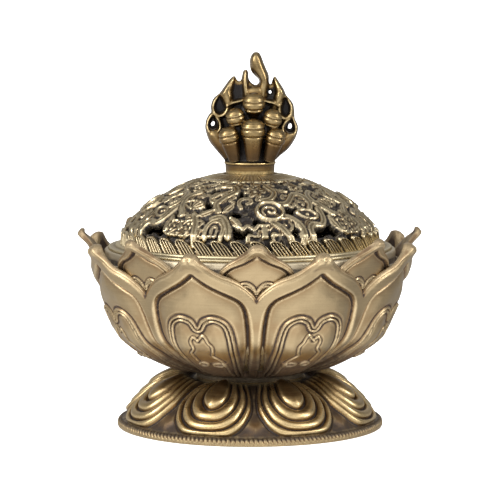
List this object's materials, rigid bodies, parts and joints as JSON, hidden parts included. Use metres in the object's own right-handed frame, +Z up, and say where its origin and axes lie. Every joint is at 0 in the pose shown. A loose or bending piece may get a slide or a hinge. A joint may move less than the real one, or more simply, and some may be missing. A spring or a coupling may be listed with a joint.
{
  "type": "incense burner",
  "caption": "Cast brass incense burner: a lotus-petal bowl on a lobed pedestal, a loose pierced dome lid with a flaming-jewel finial, and a dish inside for incense.",
  "frame": {"origin": "on the surface that the foot rests on, on the burner's axis", "axes": "+Z up along the axis, front towards -Y, the finial's flame faces -Y"},
  "size_m": [0.0804, 0.0804, 0.0878],
  "materials": {
    "foot_brass": "antique brass, satin, dark patina in the recesses",
    "bowl_brass": "antique brass, satin, dark patina in the recesses",
    "lid_brass": "antique brass, satin, dark patina in the recesses",
    "finial_brass": "antique brass, dark patina, worn edges",
    "dish_brass": "plain turned brass, lightly tarnished",
    "steel": "zinc-plated steel"
  },
  "bodies": {
    "base": {"foot": "foot_brass", "foot_washer": "steel", "foot_screw": "steel", "bowl": "bowl_brass"},
    "dish": {"incense_dish": "dish_brass", "dish_feet": "dish_brass", "incense_prongs": "dish_brass"},
    "lid": {"lid": "lid_brass", "lid_spigot": "lid_brass", "finial_collar": "finial_brass", "finial_washer": "steel", "finial_screw": "steel", "finial": "finial_brass"}
  },
  "joints": [
    {"name": "lid_lift", "type": "slide", "parent": "base", "child": "lid", "axis": [0, 0, 1], "range_m": [0, 0.06]},
    {"name": "dish_lift", "type": "slide", "parent": "base", "child": "dish", "axis": [0, 0, 1], "range_m": [0, 0.027]}
  ]
}
